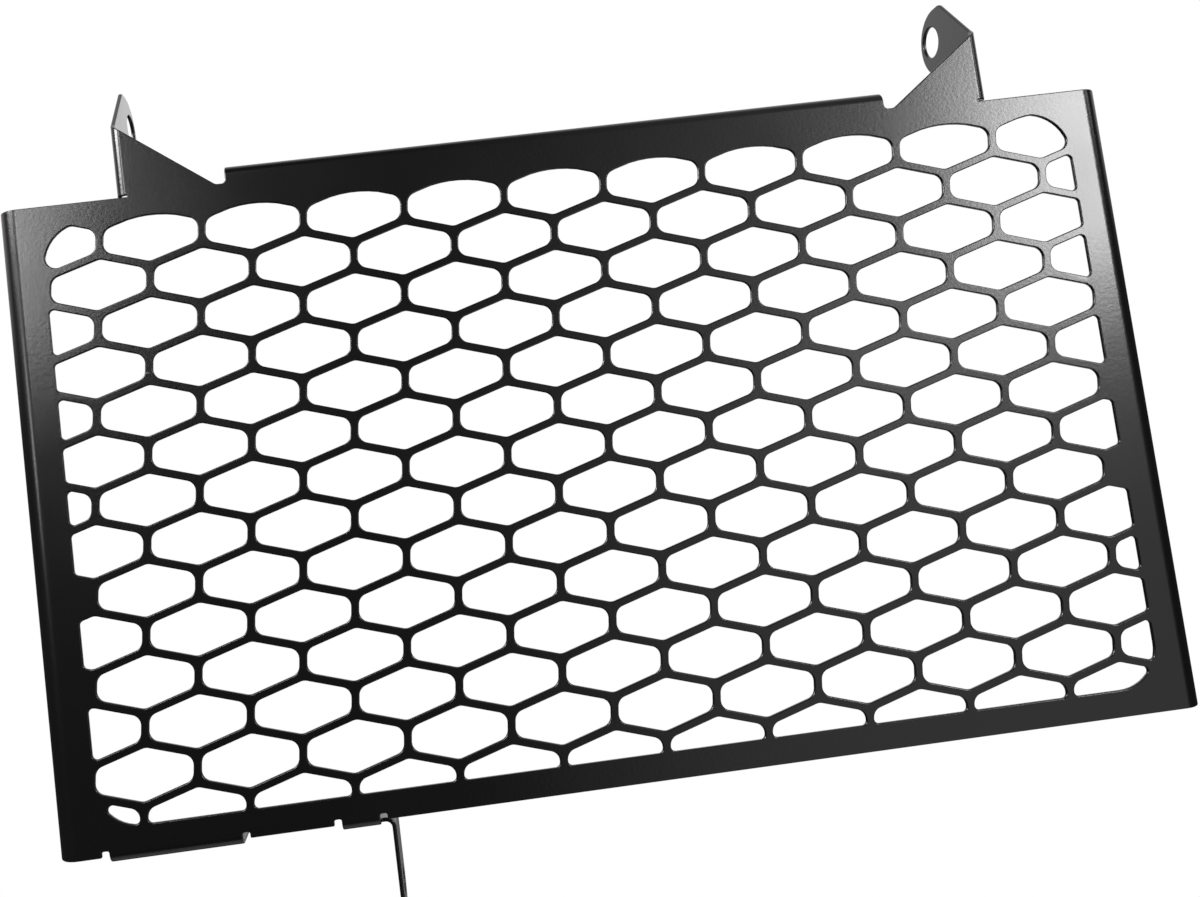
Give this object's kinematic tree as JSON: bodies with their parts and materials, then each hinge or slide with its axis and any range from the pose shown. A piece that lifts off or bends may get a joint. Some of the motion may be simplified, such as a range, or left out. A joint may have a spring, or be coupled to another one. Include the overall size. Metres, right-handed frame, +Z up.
{
  "type": "motorcycle radiator guard",
  "caption": "Perforated sheet-metal guard for the front of a motorcycle radiator, with slanted rows of stretched hexagons, folded flanges and drilled lugs.",
  "frame": {"origin": "middle of the upper bolts' common axis, halfway between the two upper lugs", "axes": "+X along the width, to the right as seen from the front; +Y from the front face towards the radiator; +Z up"},
  "size_m": [0.275, 0.0264, 0.2117],
  "materials": {
    "powder_coat": "satin"
  },
  "bodies": {
    "root": {"guard_sheet": "powder_coat"}
  },
  "joints": []
}
